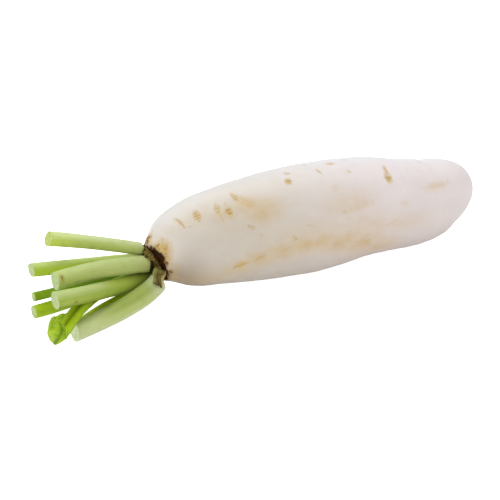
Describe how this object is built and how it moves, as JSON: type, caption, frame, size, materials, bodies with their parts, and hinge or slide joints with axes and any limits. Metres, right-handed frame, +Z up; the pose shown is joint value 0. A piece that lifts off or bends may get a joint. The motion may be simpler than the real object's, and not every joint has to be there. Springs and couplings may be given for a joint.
{
  "type": "white radish",
  "caption": "Whole white radish lying on its side, with its brown-ringed crown and its leaf stalks cut short.",
  "frame": {"origin": "middle of the small flat spot under the root's belly, which it rests on", "axes": "+X along the root from the crown to the tip, +Z up, +Y away from the side that the picture shows"},
  "size_m": [0.3252, 0.0846, 0.076],
  "materials": {
    "root_skin": "smooth waxy white skin",
    "stalk_green": "pale green, finely ribbed",
    "leaf_green": "bright green, crinkled",
    "withered_leaf": "dry, dull brown"
  },
  "bodies": {
    "root": {"root": "root_skin", "stalk_1": "stalk_green", "stalk_2": "stalk_green", "stalk_3": "stalk_green", "stalk_4": "stalk_green", "stalk_5": "stalk_green", "stalk_6": "stalk_green", "leafy_stalk": "leaf_green", "stalk_8": "stalk_green", "stalk_9": "stalk_green", "withered_base_1": "withered_leaf", "withered_base_2": "withered_leaf", "withered_base_3": "withered_leaf"}
  },
  "joints": []
}
